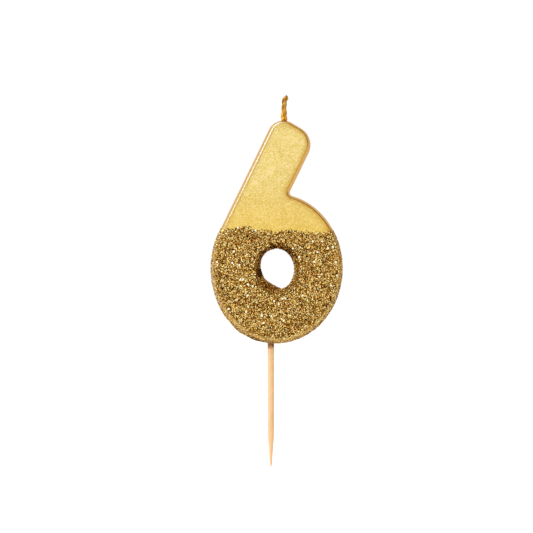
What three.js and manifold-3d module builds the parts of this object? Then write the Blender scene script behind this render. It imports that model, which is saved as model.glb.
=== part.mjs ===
// A number birthday candle: a paraffin wax "6" cast in an open mould, with a gold lacquer skin, a glitter
// crust glued round its lower half, a plaited cotton wick and a wooden pick that is cast in.
//
// Millimetres, +Z up, the front face towards -Y. The origin is on the pick's axis, where the pick leaves
// the underside of the numeral and goes into the cake.

import * as THREE from "three";
import Module from "manifold-3d";
import { mergeVertices } from "three/addons/utils/BufferGeometryUtils.js";

const wasm = await Module();
wasm.setup();

const radians = THREE.MathUtils.degToRad;

// The numeral, measured over the lacquer at its widest section, near the back.
const NUMERAL_HEIGHT = 71.3;
const THICKNESS = 9;
const BOWL_HALF_WIDTH = 21.1;
const BOWL_HALF_HEIGHT = 23.9;
const BOWL_OFFSET = 1.8; // the pick stands this far left of the bowl's middle
const STEM_WIDTH = 14.7;
const STEM_SLANT = radians(26); // from the vertical
const STEM_END_FALL = radians(30.4); // the stem's cut end drops to the right
const STEM_LEFT_RADIUS = 5.1;
const STEM_RIGHT_RADIUS = 6.2;
const NOTCH_RADIUS = 1.1; // where the stem meets the bowl
const COUNTER_HALF_WIDTH = 6;
const COUNTER_HALF_HEIGHT = 7;
const COUNTER_DROP = 0.3; // the counter sits this far below the bowl's middle

// The section through the casting: draft, the front face's rounded edge and the poured back's soft edge.
const DRAFT = 0.7;
const EDGE_WIDTH = 0.6;
const EDGE_DEPTH = 0.8;
const BACK_EDGE = 0.35;

// The layers over the wax, inside to outside.
const LAYER_GAP = 0.02;
const LACQUER = 0.15;
const ADHESIVE = 0.05;
const CRUST_ON_FACES = 0.3;
const CRUST_ON_WALL = 0.12;
const POOL_DEPTH = 1.9; // glue and glitter that ran together in the counter while it dried
const POOL_ANGLE = radians(235);

// The line that the glitter stops at, front and back: [across, up].
const GLITTER_LINE = [
  [-24, 36.8],
  [-15.5, 36.8],
  [-13, 36.2],
  [-10.5, 37.3],
  [-8, 37.3],
  [-5.4, 36.3],
  [-1, 36],
  [1.6, 35.5],
  [4.5, 36],
  [8, 35.8],
  [12.5, 35.3],
  [15.6, 35.1],
  [19, 35.9],
  [26, 35.5],
];
const GLITTER_ZONE_BOTTOM = -10; // the zone is cut well below the numeral

// The wick's route, from its blind end by the bowl's underside up the stem to its free tip: [across, up].
const WICK_ROUTE = [
  [-6.2, 9.4],
  [-9.6, 13.2],
  [-12, 21],
  [-11.1, 30],
  [-7.4, 39.5],
  [-2.6, 49],
  [1.6, 58],
  [3.9, 65.5],
  [4.2, 71.3],
  [4.2, 75.2],
  [4.4, 77.4],
  [5.1, 78.9],
];
const WICK_TUNNEL_RADIUS = 1.05;
const STRAND_COUNT = 3;
const STRAND_RADIUS = 0.29;
const PLAIT_HALF_WIDTH = 0.56;
const PLAIT_HALF_DEPTH = 0.42;
const PLAIT_PITCH = 6;
const STRAND_END_CLEARANCE = 0.008; // share of the route left free at the wick's blind end

// The pick.
const PICK_RADIUS = 1.05;
const PICK_DEPTH_IN_WAX = 12;
const PICK_SOCKET_CLEARANCE = 0.15;
const PICK_SOCKET_BOTTOM = -2; // the socket's cut starts well below the numeral
const PICK_TAPER = [
  // [radius, height]
  [0.3, -38.9],
  [0.45, -36.9],
  [0.65, -34.3],
  [1.01, -30.2],
];
const PICK_TIP = -39.3;

// How finely round stretches are divided.
const BOWL_STEPS = 44;
const CORNER_STEPS = 7;
const NOTCH_STEPS = 5;
const EDGE_STEPS = 2;
const COUNTER_STEPS = 28;
const TUNNEL_SIDES = 10;
const TUNNEL_STEPS = 28;
const STRAND_SIDES = 6;
const STRAND_STEPS_PER_PITCH = 9;
const PICK_SIDES = 20;
const GLITTER_LINE_STEPS = 28;
const NOTCH_HALVINGS = 40; // halvings of the range of angles that the notch is looked for in

const BOWL_CENTRE = new THREE.Vector2(BOWL_OFFSET, BOWL_HALF_HEIGHT);

// A closed geometry as a manifold-3d solid, and back.
function solidOf(geometry) {
  const bare = geometry.clone();
  bare.deleteAttribute("normal");
  bare.deleteAttribute("uv");
  const merged = mergeVertices(bare);
  return new wasm.Manifold(
    new wasm.Mesh({
      numProp: 3,
      vertProperties: merged.attributes.position.array,
      triVerts: Uint32Array.from(merged.index.array),
    }),
  );
}

function geometryOf(solid) {
  const mesh = solid.getMesh();
  const geometry = new THREE.BufferGeometry();
  geometry.setAttribute("position", new THREE.BufferAttribute(mesh.vertProperties, 3));
  geometry.setIndex(new THREE.BufferAttribute(mesh.triVerts, 1));
  geometry.computeVertexNormals();
  return geometry;
}

// Points along a curve of the front view, each with the normal on its right-hand side.
function sampled(curve, steps) {
  return Array.from({ length: steps + 1 }, (_, i) => {
    const tangent = curve.getTangent(i / steps);
    return { point: curve.getPoint(i / steps), normal: new THREE.Vector2(tangent.y, -tangent.x) };
  });
}

function roundArc(centre, radius, from, to, clockwise, steps) {
  return sampled(new THREE.EllipseCurve(centre.x, centre.y, radius, radius, from, to, clockwise), steps);
}

// The point where two lines cross, each given by a point and a normal.
function crossing(pointA, normalA, pointB, normalB) {
  const a = pointA.dot(normalA);
  const b = pointB.dot(normalB);
  const det = normalA.cross(normalB);
  return new THREE.Vector2((a * normalB.y - b * normalA.y) / det, (b * normalA.x - a * normalB.x) / det);
}

// The numeral's outer outline, anticlockwise in the front view: bowl, notch, then the stem's two corners.
// The stem's left side runs into the bowl as a tangent.
function outerOutline() {
  const alongStem = new THREE.Vector2(Math.sin(STEM_SLANT), Math.cos(STEM_SLANT));
  const left = new THREE.Vector2(-alongStem.y, alongStem.x);
  const right = left.clone().negate();
  const top = new THREE.Vector2(Math.sin(STEM_END_FALL), Math.cos(STEM_END_FALL));
  const reach = Math.hypot(BOWL_HALF_WIDTH * left.x, BOWL_HALF_HEIGHT * left.y);
  const tangency = new THREE.Vector2(
    (BOWL_HALF_WIDTH ** 2 * left.x) / reach,
    (BOWL_HALF_HEIGHT ** 2 * left.y) / reach,
  );
  const startAngle = Math.atan2(tangency.y / BOWL_HALF_HEIGHT, tangency.x / BOWL_HALF_WIDTH);
  const onLeft = tangency.clone().add(BOWL_CENTRE);
  const onRight = onLeft.clone().addScaledVector(right, STEM_WIDTH);

  const leftCentre = onLeft.clone().addScaledVector(left, -STEM_LEFT_RADIUS);
  const rise = (NUMERAL_HEIGHT - STEM_LEFT_RADIUS - leftCentre.y) / alongStem.y;
  leftCentre.addScaledVector(alongStem, rise);
  const onTop = leftCentre.clone().addScaledVector(top, STEM_LEFT_RADIUS - STEM_RIGHT_RADIUS);
  const insideRight = onRight.clone().addScaledVector(right, -STEM_RIGHT_RADIUS);
  const rightCentre = crossing(onTop, top, insideRight, right);

  // The notch's centre stands off both the stem's right side and the bowl by its radius.
  const bowlAt = (angle) => {
    const normal = new THREE.Vector2(
      Math.cos(angle) / BOWL_HALF_WIDTH,
      Math.sin(angle) / BOWL_HALF_HEIGHT,
    ).normalize();
    const point = new THREE.Vector2(
      BOWL_HALF_WIDTH * Math.cos(angle),
      BOWL_HALF_HEIGHT * Math.sin(angle),
    ).add(BOWL_CENTRE);
    return { point, centre: point.clone().addScaledVector(normal, NOTCH_RADIUS) };
  };
  let low = 0;
  let high = Math.PI / 2;
  for (let i = 0; i < NOTCH_HALVINGS; i += 1) {
    const middle = (low + high) / 2;
    const clear = bowlAt(middle).centre.sub(onRight).dot(right) > NOTCH_RADIUS;
    [low, high] = clear ? [middle, high] : [low, middle];
  }
  const notch = bowlAt(low);
  const fromBowl = notch.point.clone().sub(notch.centre).angle();

  const bowl = new THREE.EllipseCurve(
    BOWL_CENTRE.x,
    BOWL_CENTRE.y,
    BOWL_HALF_WIDTH,
    BOWL_HALF_HEIGHT,
    startAngle,
    low + 2 * Math.PI,
    false,
  );
  return [
    ...sampled(bowl, BOWL_STEPS).slice(0, -1),
    ...roundArc(notch.centre, NOTCH_RADIUS, fromBowl, left.angle(), true, NOTCH_STEPS),
    ...roundArc(rightCentre, STEM_RIGHT_RADIUS, right.angle(), top.angle(), false, CORNER_STEPS),
    ...roundArc(leftCentre, STEM_LEFT_RADIUS, top.angle(), left.angle(), false, CORNER_STEPS),
  ];
}

// The counter's outline, clockwise in the front view, so that its normals point into the hole.
function counterOutline() {
  const counter = new THREE.EllipseCurve(
    BOWL_CENTRE.x,
    BOWL_CENTRE.y - COUNTER_DROP,
    COUNTER_HALF_WIDTH,
    COUNTER_HALF_HEIGHT,
    2 * Math.PI,
    0,
    true,
  );
  return sampled(counter, COUNTER_STEPS).slice(0, -1);
}

const OUTER = outerOutline();
const COUNTER = counterOutline();

// The casting's section, front to back: [depth, inset from the widest outline]. The front edge is a quarter
// round, the wall drafts outwards to the back, and the back edge is broken.
const SECTION = [
  ...Array.from({ length: EDGE_STEPS + 1 }, (_, i) => {
    const angle = (Math.PI / 2) * (i / EDGE_STEPS);
    const depth = EDGE_DEPTH * (1 - Math.cos(angle)) - THICKNESS / 2;
    return [depth, DRAFT + EDGE_WIDTH * (1 - Math.sin(angle))];
  }),
  [THICKNESS / 2 - BACK_EDGE, 0],
  [THICKNESS / 2, BACK_EDGE],
];

// How far the pooled glitter narrows the counter at a place on its wall: not at all at the front, most at the
// back.
function poolAt(normal, depth, pool) {
  const facing = Math.max(0, Math.cos(normal.angle() + Math.PI - POOL_ANGLE));
  return pool * facing ** 2 * THREE.MathUtils.smoothstep(depth, -THICKNESS / 2, THICKNESS / 4);
}

// The numeral grown (or, below 0, shrunk) by a different amount on its faces, outer wall and counter wall.
function numeral({ faces, wall, counter, pool = 0 }) {
  const last = SECTION.length - 1;
  const rings = SECTION.map(([depth, inset], i) => {
    const y = i === 0 ? depth - faces : i === last ? depth + faces : depth;
    const move = ({ point, normal }, amount) => {
      const moved = point.clone().addScaledVector(normal, amount);
      return new THREE.Vector3(moved.x, y, moved.y);
    };
    return {
      outer: OUTER.map((p) => move(p, wall - inset)),
      counter: COUNTER.map((p) => move(p, counter - inset + poolAt(p.normal, depth, pool))),
    };
  });
  const perRing = OUTER.length + COUNTER.length;
  const index = [];
  const wallBetween = (ring, start, count) => {
    for (let i = 0; i < count; i += 1) {
      const a = ring * perRing + start + i;
      const b = ring * perRing + start + ((i + 1) % count);
      index.push(a, a + perRing, b + perRing, a, b + perRing, b);
    }
  };
  for (let ring = 0; ring < last; ring += 1) {
    wallBetween(ring, 0, OUTER.length);
    wallBetween(ring, OUTER.length, COUNTER.length);
  }
  const capOf = (ring) => {
    const flat = (list) => list.map((v) => new THREE.Vector2(v.x, v.z));
    return THREE.ShapeUtils.triangulateShape(flat(rings[ring].outer), [flat(rings[ring].counter)]);
  };
  for (const [a, b, c] of capOf(0)) {
    index.push(a, b, c);
  }
  for (const [a, b, c] of capOf(last)) {
    index.push(a + last * perRing, c + last * perRing, b + last * perRing);
  }
  const geometry = new THREE.BufferGeometry();
  geometry.setFromPoints(rings.flatMap((ring) => [...ring.outer, ...ring.counter]));
  geometry.setIndex(index);
  return solidOf(geometry);
}

function evenly(amount) {
  return { faces: amount, wall: amount, counter: amount };
}

// Everything below the glitter line.
function belowGlitterLine() {
  const line = new THREE.SplineCurve(GLITTER_LINE.map(([x, z]) => new THREE.Vector2(x, z)));
  const shape = new THREE.Shape(line.getPoints(GLITTER_LINE_STEPS));
  shape.lineTo(GLITTER_LINE.at(-1)[0], GLITTER_ZONE_BOTTOM);
  shape.lineTo(GLITTER_LINE[0][0], GLITTER_ZONE_BOTTOM);
  const depth = 2 * THICKNESS;
  const geometry = new THREE.ExtrudeGeometry(shape, { depth, bevelEnabled: false });
  geometry.rotateX(Math.PI / 2);
  geometry.translate(0, depth / 2, 0);
  return solidOf(geometry);
}

const wickRoute = new THREE.CatmullRomCurve3(WICK_ROUTE.map(([x, z]) => new THREE.Vector3(x, 0, z)));

function regularPolygon(radius, sides) {
  const corners = Array.from({ length: sides }, (_, i) => {
    const angle = (2 * Math.PI * i) / sides;
    return new THREE.Vector2(radius * Math.cos(angle), radius * Math.sin(angle));
  });
  return new THREE.Shape(corners);
}

function swept(path, radius, sides, steps) {
  const section = regularPolygon(radius, sides);
  return new THREE.ExtrudeGeometry(section, { steps, extrudePath: path, bevelEnabled: false });
}

// One strand of the flat three-strand plait that follows the wick's route.
class PlaitStrand extends THREE.Curve {
  constructor(phase) {
    super();
    this.phase = phase;
    this.turns = wickRoute.getLength() / PLAIT_PITCH;
  }

  getPoint(share) {
    const t = STRAND_END_CLEARANCE + share * (1 - STRAND_END_CLEARANCE);
    const tangent = wickRoute.getTangentAt(t);
    const across = new THREE.Vector3(tangent.z, 0, -tangent.x);
    const turn = 2 * Math.PI * this.turns * t + this.phase;
    const point = wickRoute.getPointAt(t).addScaledVector(across, PLAIT_HALF_WIDTH * Math.sin(turn));
    point.y += PLAIT_HALF_DEPTH * Math.sin(2 * turn);
    return point;
  }
}

function wickStrand(number) {
  const strand = new PlaitStrand((2 * Math.PI * number) / STRAND_COUNT);
  const steps = Math.round(strand.turns * STRAND_STEPS_PER_PITCH);
  return swept(strand, STRAND_RADIUS, STRAND_SIDES, steps);
}

function woodenPick() {
  const profile = [
    [0, PICK_TIP],
    ...PICK_TAPER,
    [PICK_RADIUS, 0],
    [PICK_RADIUS, PICK_DEPTH_IN_WAX],
    [0, PICK_DEPTH_IN_WAX],
  ].map(([r, z]) => new THREE.Vector2(r, z));
  const pick = new THREE.LatheGeometry(profile, PICK_SIDES);
  pick.rotateX(Math.PI / 2);
  return pick;
}

// The hollow that the pick leaves in the wax and the layers.
function pickSocket() {
  const top = PICK_DEPTH_IN_WAX + PICK_SOCKET_CLEARANCE;
  const radius = PICK_RADIUS + PICK_SOCKET_CLEARANCE;
  const hollow = new THREE.CylinderGeometry(radius, radius, top - PICK_SOCKET_BOTTOM, PICK_SIDES);
  hollow.rotateX(Math.PI / 2);
  hollow.translate(0, 0, (top + PICK_SOCKET_BOTTOM) / 2);
  return solidOf(hollow);
}

const wickTunnel = solidOf(swept(wickRoute, WICK_TUNNEL_RADIUS, TUNNEL_SIDES, TUNNEL_STEPS));
const socket = pickSocket();
const glitterZone = belowGlitterLine();

// The wax casting, with the wick's tunnel and the pick's socket.
function waxBody() {
  return numeral(evenly(-LACQUER - LAYER_GAP)).subtract(wickTunnel).subtract(socket);
}

function goldLacquer() {
  return numeral(evenly(0)).subtract(numeral(evenly(-LACQUER))).subtract(wickTunnel).subtract(socket);
}

function adhesiveCoat() {
  const outside = numeral(evenly(LAYER_GAP + ADHESIVE));
  const skin = outside.subtract(numeral(evenly(LAYER_GAP)));
  return skin.intersect(glitterZone).subtract(socket);
}

function glitterCrust() {
  const under = 2 * LAYER_GAP + ADHESIVE;
  const outside = numeral({
    faces: under + CRUST_ON_FACES,
    wall: under + CRUST_ON_WALL,
    counter: under + CRUST_ON_FACES,
    pool: POOL_DEPTH,
  });
  return outside.subtract(numeral(evenly(under))).intersect(glitterZone).subtract(socket);
}

const candle = new THREE.Group();

function add(name, geometry, material, parent = candle) {
  const mesh = new THREE.Mesh(geometry, new THREE.MeshStandardMaterial(material));
  mesh.name = name;
  parent.add(mesh);
}

add("wax_body", geometryOf(waxBody()), { color: 0xf1e6c8, roughness: 0.5, metalness: 0 });
add("gold_lacquer", geometryOf(goldLacquer()), { color: 0xe6c873, roughness: 0.38, metalness: 0.9 });
add("adhesive_coat", geometryOf(adhesiveCoat()), { color: 0x8a5f1e, roughness: 0.3, metalness: 0 });
add("glitter_crust", geometryOf(glitterCrust()), { color: 0xaa8447, roughness: 0.35, metalness: 0.9 });

const wick = new THREE.Group();
for (let number = 1; number <= STRAND_COUNT; number += 1) {
  const finish = { color: 0xd09a3e, roughness: 0.6, metalness: 0.2 };
  add(`wick_strand_${number}`, wickStrand(number), finish, wick);
}
candle.add(wick);

add("wooden_pick", woodenPick(), { color: 0xf9d6a6, roughness: 0.75, metalness: 0 });

export default candle;
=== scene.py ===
"""Looks of a number birthday candle: gold lacquer, glitter, a plaited wick and a wooden pick.

Shapes are worked out in millimetres in the part's own frame and turned into metres when a mesh is made.
"""
import math

import bpy
import numpy as np
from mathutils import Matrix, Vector, geometry, noise


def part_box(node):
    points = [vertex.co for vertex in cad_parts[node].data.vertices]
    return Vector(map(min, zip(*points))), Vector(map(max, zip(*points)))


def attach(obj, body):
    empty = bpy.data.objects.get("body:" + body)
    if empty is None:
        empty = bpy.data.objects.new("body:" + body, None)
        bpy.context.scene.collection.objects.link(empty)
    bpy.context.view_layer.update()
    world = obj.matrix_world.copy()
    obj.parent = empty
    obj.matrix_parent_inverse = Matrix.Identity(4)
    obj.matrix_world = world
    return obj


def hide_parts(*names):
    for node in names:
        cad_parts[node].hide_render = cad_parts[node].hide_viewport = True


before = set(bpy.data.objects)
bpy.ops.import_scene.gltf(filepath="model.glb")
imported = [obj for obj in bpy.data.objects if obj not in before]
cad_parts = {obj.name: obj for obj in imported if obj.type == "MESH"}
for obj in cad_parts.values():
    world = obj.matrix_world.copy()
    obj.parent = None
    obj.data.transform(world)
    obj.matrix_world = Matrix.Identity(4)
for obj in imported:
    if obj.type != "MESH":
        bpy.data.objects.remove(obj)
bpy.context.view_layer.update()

MM = 0.001
ROOT = "root"


def box_mm(node):
    low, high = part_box(node)
    return np.array(low) / MM, np.array(high) / MM


# ---------------------------------------------------------------- sizes, in millimetres

LACQUER_LOW, LACQUER_HIGH = box_mm("gold_lacquer")
CRUST_LOW, CRUST_HIGH = box_mm("glitter_crust")
PICK_LOW, PICK_HIGH = box_mm("wooden_pick")

# The numeral's front view.
NUMERAL_HEIGHT = LACQUER_HIGH[2]
BOWL_HALF_WIDTH = (LACQUER_HIGH[0] - LACQUER_LOW[0]) / 2
BOWL_HALF_HEIGHT = 23.9
BOWL_CENTRE = np.array([(LACQUER_HIGH[0] + LACQUER_LOW[0]) / 2, BOWL_HALF_HEIGHT])
STEM_WIDTH = 14.7
STEM_SLANT = math.radians(26)
STEM_END_FALL = math.radians(30.4)
STEM_LEFT_RADIUS = 5.1
STEM_RIGHT_RADIUS = 6.2
NOTCH_RADIUS = 1.1
COUNTER_HALF_WIDTH = 6
COUNTER_HALF_HEIGHT = 7
COUNTER_DROP = 0.3
COUNTER_CENTRE = BOWL_CENTRE - [0, COUNTER_DROP]

# The casting's section, from the flat back to the sunk front face inside its raised rim.
FRONT = LACQUER_LOW[1]
BACK = LACQUER_HIGH[1]
BACK_EDGE = 0.4
DRAFT = 0.68
EDGE_WIDTH = 0.55
EDGE_DEPTH = 0.8
RIM_WIDTH = 0.5
FACE_SINK = 0.08
LACQUER_THICKNESS = 0.17

# The casting flash at the bowl's lower left.
FLASH_HEIGHT = 0.34
FLASH_ANGLE = math.radians(240)
FLASH_SPREAD = math.radians(27)
FLASH_LUMPS = (0.35, 11, 0), (0.25, 23, 1)  # height as a share, how many to a turn, and phase

# The line that the glitter stops at, as [across, up].
GLITTER_LINE = np.array([
    [-24, 36.8], [-15.5, 36.8], [-13, 36.2], [-10.5, 37.3], [-8, 37.3], [-5.4, 36.3], [-1, 36],
    [1.6, 35.5], [4.5, 36], [8, 35.8], [12.5, 35.3], [15.6, 35.1], [19, 35.9], [26, 35.5],
])

# The pool of glue and glitter in the counter, and the lump at its upper end.
POOL_ANGLE = math.radians(242)
POOL_LEVEL = 5.15  # from the counter's centre to the pool's flat surface, under the glitter
POOL_TOP = FRONT + 1.6
POOL_FOOT = FRONT + 3.9
POOL_GRAIN = [(0.18, 1.1, 8)]  # noise, as below
LUMP_ANGLE = math.radians(200)
LUMP_DEPTH = 1.05
LUMP_SHARPNESS = 6

# Noises, each as [height, features a millimetre, seed]: the gold's unevenness, the way the glitter's
# edge strays from its line, and the streaks along the pick, which are stretched.
GOLD_UNEVENNESS = (0.035, 0.16, 1), (0.012, 0.55, 2)
EDGE_STRAY = (0.2, 0.35, 4), (0.4, 1.3, 5)
PICK_STREAKS = [(0.018, 1, 11)]
STREAK_STRETCH = 2.2, 2.2, 0.12

# How far the lacquer climbs the wick and the pick, as [radius, height] of each mound.
WICK_MOUND = 1.1, 0.25
PICK_MOUND = 1.4, 0.3

# The wick's route, as [across, up], its fullness by height, and its plait.
WICK_ROUTE = [
    [-6.2, 9.4], [-9.6, 13.2], [-12, 21], [-11.1, 30], [-7.4, 39.5], [-2.6, 49],
    [1.6, 58], [3.9, 65.5], [4.2, 71.3], [4.2, 75.2], [4.35, 77.2], [4.75, 78.25], [5.45, 78.75],
]
WICK_EXIT = np.array([4.2, 0, 71.2])
WICK_FULLNESS = (70.2, 72.4, 74.5, 77, 78, 78.6, 79), (1.12, 1.2, 0.95, 0.92, 1, 0.88, 0.72)
PLAIT_HALF_WIDTH = 0.44
PLAIT_HALF_DEPTH = 0.3
PLAIT_PITCH = 7
STRAND_RADIUS = 0.4
YARN_START = 0.008  # the share of the route before each yarn, and by how much their ends differ
YARN_STAGGER = 0.002

# Each yarn's section and the fibres that stand loose at its tip.
YARN_RIDGES = 6
YARN_RIDGE_HEIGHT = 0.14
YARN_TWIST = 0.16
LOOSE_FIBRES = 5
FIBRE_SCATTER = 0.12
FIBRE_LEAN = (-0.3, 0.15), (-0.25, 0.25), (0.4, 0.6)
FIBRE_LENGTH = 0.75
FIBRE_CURL = 0.1
FIBRE_RADII = 0.055, 0.02
FIBRE_FOOT = -6  # the point of the yarn's path that its fibres spring from

# The pick's radius by height.
PICK_PROFILE = (
    (PICK_LOW[2], PICK_LOW[2] + 0.25, -37.6, -34.3, -30.6, -29.4, 0, PICK_HIGH[2]),
    (0.14, 0.3, 0.42, 0.63, 0.95, 1.02, 1.05, 1.05),
)

# How finely each curve is divided.
BOWL_STEPS = 900
CORNER_STEPS = 60
COUNTER_STEPS = 400
NOTCH_SEARCH_STEPS = 20000
EDGE_STEPS = 9
RIM_STEPS = 7
ROUTE_STEPS = 80
WICK_STEPS = 620
YARN_SIDES = 18
FIBRE_STEPS = 8
FIBRE_SIDES = 6
PICK_SIDES = 40
PICK_STEP = 0.35


# ---------------------------------------------------------------- meshes from arrays

def mesh_object(name, vertices, faces, materials, material_of_face=None, smooth=True):
    """A mesh object from vertices in millimetres and faces, a list of arrays with one row per face."""
    loops = np.concatenate([np.asarray(f, dtype=np.int32).ravel() for f in faces])
    sizes = np.concatenate([np.full(len(f), np.shape(f)[1], dtype=np.int32) for f in faces])
    starts = np.concatenate([[0], np.cumsum(sizes)[:-1]]).astype(np.int32)
    mesh = bpy.data.meshes.new(name)
    mesh.vertices.add(len(vertices))
    mesh.vertices.foreach_set("co", (np.asarray(vertices) * MM).astype(np.float32).ravel())
    mesh.loops.add(len(loops))
    mesh.loops.foreach_set("vertex_index", loops)
    mesh.polygons.add(len(sizes))
    mesh.polygons.foreach_set("loop_start", starts)
    for material in materials:
        mesh.materials.append(material)
    if material_of_face is not None:
        mesh.polygons.foreach_set("material_index", np.asarray(material_of_face, dtype=np.int32))
    mesh.polygons.foreach_set("use_smooth", np.full(len(sizes), smooth, dtype=bool))
    mesh.update(calc_edges=True)
    mesh.validate()
    thing = bpy.data.objects.new(name, mesh)
    bpy.context.scene.collection.objects.link(thing)
    return thing


# ---------------------------------------------------------------- the numeral's outline

def direction(angle):
    return np.array([math.cos(angle), math.sin(angle)])


def unit(vectors):
    return vectors / np.linalg.norm(vectors, axis=1)[:, None]


def ellipse_arc(centre, half_width, half_height, start, end, count, turned_in=False):
    """Points and outward normals along an arc of an ellipse; turned_in gives a hollow's normals."""
    angles = np.linspace(start, end, count)
    ring = np.stack([np.cos(angles), np.sin(angles)], 1)
    normals = unit(ring / [half_width, half_height])
    return centre + ring * [half_width, half_height], -normals if turned_in else normals


def crossing(point_a, normal_a, point_b, normal_b):
    """Where two lines meet, each given by a point on it and its normal."""
    return np.linalg.solve([normal_a, normal_b], [point_a @ normal_a, point_b @ normal_b])


def evenly_spaced(points, normals, spacing):
    """A closed outline's points and normals, put at equal steps along it."""
    loop = np.vstack([points, points[:1]])
    reach = np.concatenate([[0], np.cumsum(np.linalg.norm(np.diff(loop, axis=0), axis=1))])
    turned = np.vstack([normals, normals[:1]])
    at = np.linspace(0, reach[-1], round(reach[-1] / spacing), endpoint=False)
    where = np.stack([np.interp(at, reach, loop[:, k]) for k in (0, 1)], 1)
    facing = np.stack([np.interp(at, reach, turned[:, k]) for k in (0, 1)], 1)
    return where, unit(facing)


def outer_outline(spacing):
    """The numeral's outline, anticlockwise in the front view."""
    along = np.array([math.sin(STEM_SLANT), math.cos(STEM_SLANT)])
    left = np.array([-along[1], along[0]])
    right = -left
    top = np.array([math.sin(STEM_END_FALL), math.cos(STEM_END_FALL)])
    halves = np.array([BOWL_HALF_WIDTH, BOWL_HALF_HEIGHT])
    tangency = halves**2 * left / np.linalg.norm(halves * left)
    start = math.atan2(tangency[1] / BOWL_HALF_HEIGHT, tangency[0] / BOWL_HALF_WIDTH)
    on_left = BOWL_CENTRE + tangency
    on_right = on_left + right * STEM_WIDTH

    left_centre = on_left - left * STEM_LEFT_RADIUS
    left_centre = left_centre + along * (NUMERAL_HEIGHT - STEM_LEFT_RADIUS - left_centre[1]) / along[1]
    on_top = left_centre + top * (STEM_LEFT_RADIUS - STEM_RIGHT_RADIUS)
    right_centre = crossing(on_top, top, on_right - right * STEM_RIGHT_RADIUS, right)

    # The notch's circle touches the stem's right side and the bowl.
    angles = np.linspace(0, math.pi / 2, NOTCH_SEARCH_STEPS)
    bowl, facing = ellipse_arc(BOWL_CENTRE, *halves, 0, math.pi / 2, len(angles))
    centres = bowl + facing * NOTCH_RADIUS
    k = np.argmin(np.abs((centres - on_right) @ right - NOTCH_RADIUS))
    from_bowl = math.atan2(*(bowl[k] - centres[k])[::-1])
    to_stem = math.atan2(left[1], left[0])

    def corner(centre, radius, first, last, hollow=False):
        return ellipse_arc(centre, radius, radius, first, last, CORNER_STEPS, hollow)

    pieces = [
        ellipse_arc(BOWL_CENTRE, *halves, start, angles[k] + 2 * math.pi, BOWL_STEPS),
        corner(centres[k], NOTCH_RADIUS, from_bowl + 2 * math.pi, to_stem, hollow=True),
        corner(right_centre, STEM_RIGHT_RADIUS, -STEM_SLANT, math.pi / 2 - STEM_END_FALL),
        corner(left_centre, STEM_LEFT_RADIUS, math.pi / 2 - STEM_END_FALL, math.pi - STEM_SLANT),
    ]
    points, normals = (np.concatenate(part) for part in zip(*pieces))
    return evenly_spaced(points, normals, spacing)


def counter_outline(spacing):
    """The counter's outline, clockwise in the front view, with normals into the hole."""
    halves = COUNTER_HALF_WIDTH, COUNTER_HALF_HEIGHT
    points, normals = ellipse_arc(
        COUNTER_CENTRE, *halves, 2 * math.pi, 0, COUNTER_STEPS, turned_in=True
    )
    return evenly_spaced(points[:-1], normals[:-1], spacing)


def section(spacing):
    """[depth, inset] from the sunk front face, over the raised rim and the wall, to the flat back."""
    quarter = np.linspace(0, math.pi / 2, EDGE_STEPS)
    ease = np.linspace(0, 1, RIM_STEPS)[:-1]
    rim = np.stack([
        FRONT + FACE_SINK * (1 + np.cos(math.pi * ease)) / 2,
        DRAFT + EDGE_WIDTH + RIM_WIDTH * (1 - ease),
    ], 1)
    edge = np.stack([
        FRONT + EDGE_DEPTH * (1 - np.cos(quarter)),
        DRAFT + EDGE_WIDTH * (1 - np.sin(quarter)),
    ], 1)
    wall_top, wall_end = FRONT + EDGE_DEPTH, BACK - BACK_EDGE
    share = np.linspace(0, 1, round((wall_end - wall_top) / spacing) + 1)[1:]
    wall = np.stack([wall_top + (wall_end - wall_top) * share, DRAFT * (1 - share)], 1)
    back = np.stack([
        BACK - BACK_EDGE * (1 - np.sin(quarter[2::2])),
        BACK_EDGE * (1 - np.cos(quarter[2::2])),
    ], 1)
    return np.concatenate([rim, edge, wall, back])


def pool_at(points, normals, depth):
    """How far the pool of glue and glitter stands out of the counter's wall, most at the back."""
    beyond = (points - COUNTER_CENTRE) @ direction(POOL_ANGLE) - POOL_LEVEL
    facing = np.clip(-(normals @ direction(POOL_ANGLE)), 0.4, None)
    lump = LUMP_DEPTH * np.clip(-(normals @ direction(LUMP_ANGLE)), 0, None) ** LUMP_SHARPNESS
    fill = np.hypot(np.clip(beyond / facing, 0, None), lump)
    share = np.clip((depth - POOL_TOP) / (POOL_FOOT - POOL_TOP), 0, 1)
    places = np.column_stack([points[:, 0], np.full(len(points), depth), points[:, 1]])
    grains = layered_noise(places, POOL_GRAIN) * np.clip(share * 3, 0, 1)
    return fill * share**2 * (3 - 2 * share) + grains


def flash_at(points, inset):
    """How far the lumpy casting flash stands out of the bowl's lower left, fading onto the face."""
    away = np.arctan2(*(points - BOWL_CENTRE).T[::-1]) % (2 * math.pi) - FLASH_ANGLE
    lumps = 1
    for share, count, phase in FLASH_LUMPS:
        lumps = lumps + share * np.cos(count * away + phase)
    near = np.exp(-((away / FLASH_SPREAD) ** 4))
    return FLASH_HEIGHT * lumps * near * max(0, 1 - inset / (DRAFT + EDGE_WIDTH + RIM_WIDTH))


# A face's grid of points, in shares of its spacing: the step between rows, the jitter and the margin.
ROW_STEP = 0.87
JITTER = 0.22
MARGIN = 0.55


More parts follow.
